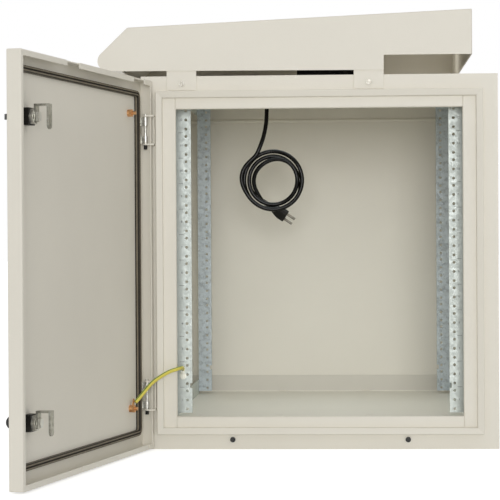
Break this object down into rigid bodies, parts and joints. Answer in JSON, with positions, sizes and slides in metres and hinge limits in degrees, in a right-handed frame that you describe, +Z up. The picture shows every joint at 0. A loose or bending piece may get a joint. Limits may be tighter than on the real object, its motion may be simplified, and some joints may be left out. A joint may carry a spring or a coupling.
{
  "type": "outdoor rack enclosure",
  "caption": "Steel rack cabinet with a hinged, gasketed door on quarter-turn latches, rack rails inside, a roof fan and a sloping rain hood.",
  "frame": {"origin": "middle of the cabinet's base, on the plane it stands on", "axes": "+X to the right seen from the front, +Y from the door opening to the back wall, +Z up"},
  "size_m": [0.7538, 1.217, 0.75],
  "materials": {
    "grey_paint": "fine textured powder coat",
    "galvanised_sheet": "galvanised spangle",
    "zinc_plate": "bright zinc plate",
    "screw_steel": "dull passivated",
    "black_screw": "black oxide",
    "black_plastic": "matt moulded",
    "black_rubber": "smooth sheath",
    "seal_foam": "closed-cell foam",
    "filter_fleece": "needled fleece",
    "copper": "bare drawn metal",
    "earth_sleeve": "smooth sleeve"
  },
  "bodies": {
    "cabinet": {"body_shell": "grey_paint", "back_panel": "grey_paint", "front_ring": "grey_paint", "frame_post_left": "grey_paint", "frame_post_right": "grey_paint", "frame_header": "grey_paint", "frame_sill": "grey_paint", "floor_tray": "grey_paint", "ceiling_tray": "grey_paint", "filter_tray": "grey_paint", "air_filter": "filter_fleece", "strip_screws": "black_screw", "rail_front_left": "galvanised_sheet", "rail_front_right": "galvanised_sheet", "rail_rear_left": "galvanised_sheet", "rail_rear_right": "galvanised_sheet", "brace_upper_left": "galvanised_sheet", "brace_upper_right": "galvanised_sheet", "brace_lower_left": "galvanised_sheet", "brace_lower_right": "galvanised_sheet", "rail_bolts": "zinc_plate", "hood": "grey_paint", "hood_bracket_left": "grey_paint", "hood_bracket_right": "grey_paint", "hood_brackets_rear": "grey_paint", "hood_screws": "screw_steel", "fan_frame": "black_plastic", "fan_guard": "zinc_plate", "fan_screws": "zinc_plate", "cord_grommet": "black_rubber", "cord_lead": "black_rubber", "cord_coil": "black_rubber", "cord_tail": "black_rubber", "plug_body": "black_plastic", "plug_blades": "zinc_plate", "hinge_bracket_upper": "grey_paint", "hinge_bracket_lower": "grey_paint", "hinge_pin_upper": "zinc_plate", "hinge_pin_lower": "zinc_plate", "hinge_caps": "black_plastic", "earth_lug_rail": "zinc_plate", "earth_screw_rail": "zinc_plate", "earth_wire": "earth_sleeve"},
    "door": {"door_panel": "grey_paint", "door_gasket": "seal_foam", "hinge_leaf_upper": "zinc_plate", "hinge_leaf_lower": "zinc_plate", "earth_stud_upper": "copper", "earth_stud_lower": "copper", "earth_lug_door": "copper", "latch_housing_upper": "black_plastic", "latch_housing_lower": "black_plastic", "latch_nut_upper": "zinc_plate", "latch_nut_lower": "zinc_plate"},
    "latch_upper": {"latch_spindle_upper": "black_plastic", "latch_cam_upper": "zinc_plate"},
    "latch_lower": {"latch_spindle_lower": "black_plastic", "latch_cam_lower": "zinc_plate"},
    "fan": {"fan_rotor": "black_plastic"}
  },
  "joints": [
    {"name": "door_swing", "type": "hinge", "parent": "cabinet", "child": "door", "pos_m": [-0.296, -0.318, 0.32], "axis": [0, 0, -1], "range_deg": [-102, 8], "deforming": ["earth_wire"]},
    {"name": "latch_upper_turn", "type": "hinge", "parent": "door", "child": "latch_upper", "pos_m": [-0.41688, -0.83619, 0.5395], "axis": [-0.9781, 0.2079, 0], "range_deg": [0, 90]},
    {"name": "latch_lower_turn", "type": "hinge", "parent": "door", "child": "latch_lower", "pos_m": [-0.41688, -0.83619, 0.0955], "axis": [-0.9781, 0.2079, 0], "range_deg": [0, 90]},
    {"name": "fan_spin", "type": "hinge", "parent": "cabinet", "child": "fan", "pos_m": [0.02, -0.11, 0.656], "axis": [0, 0, 1], "continuous": true}
  ]
}
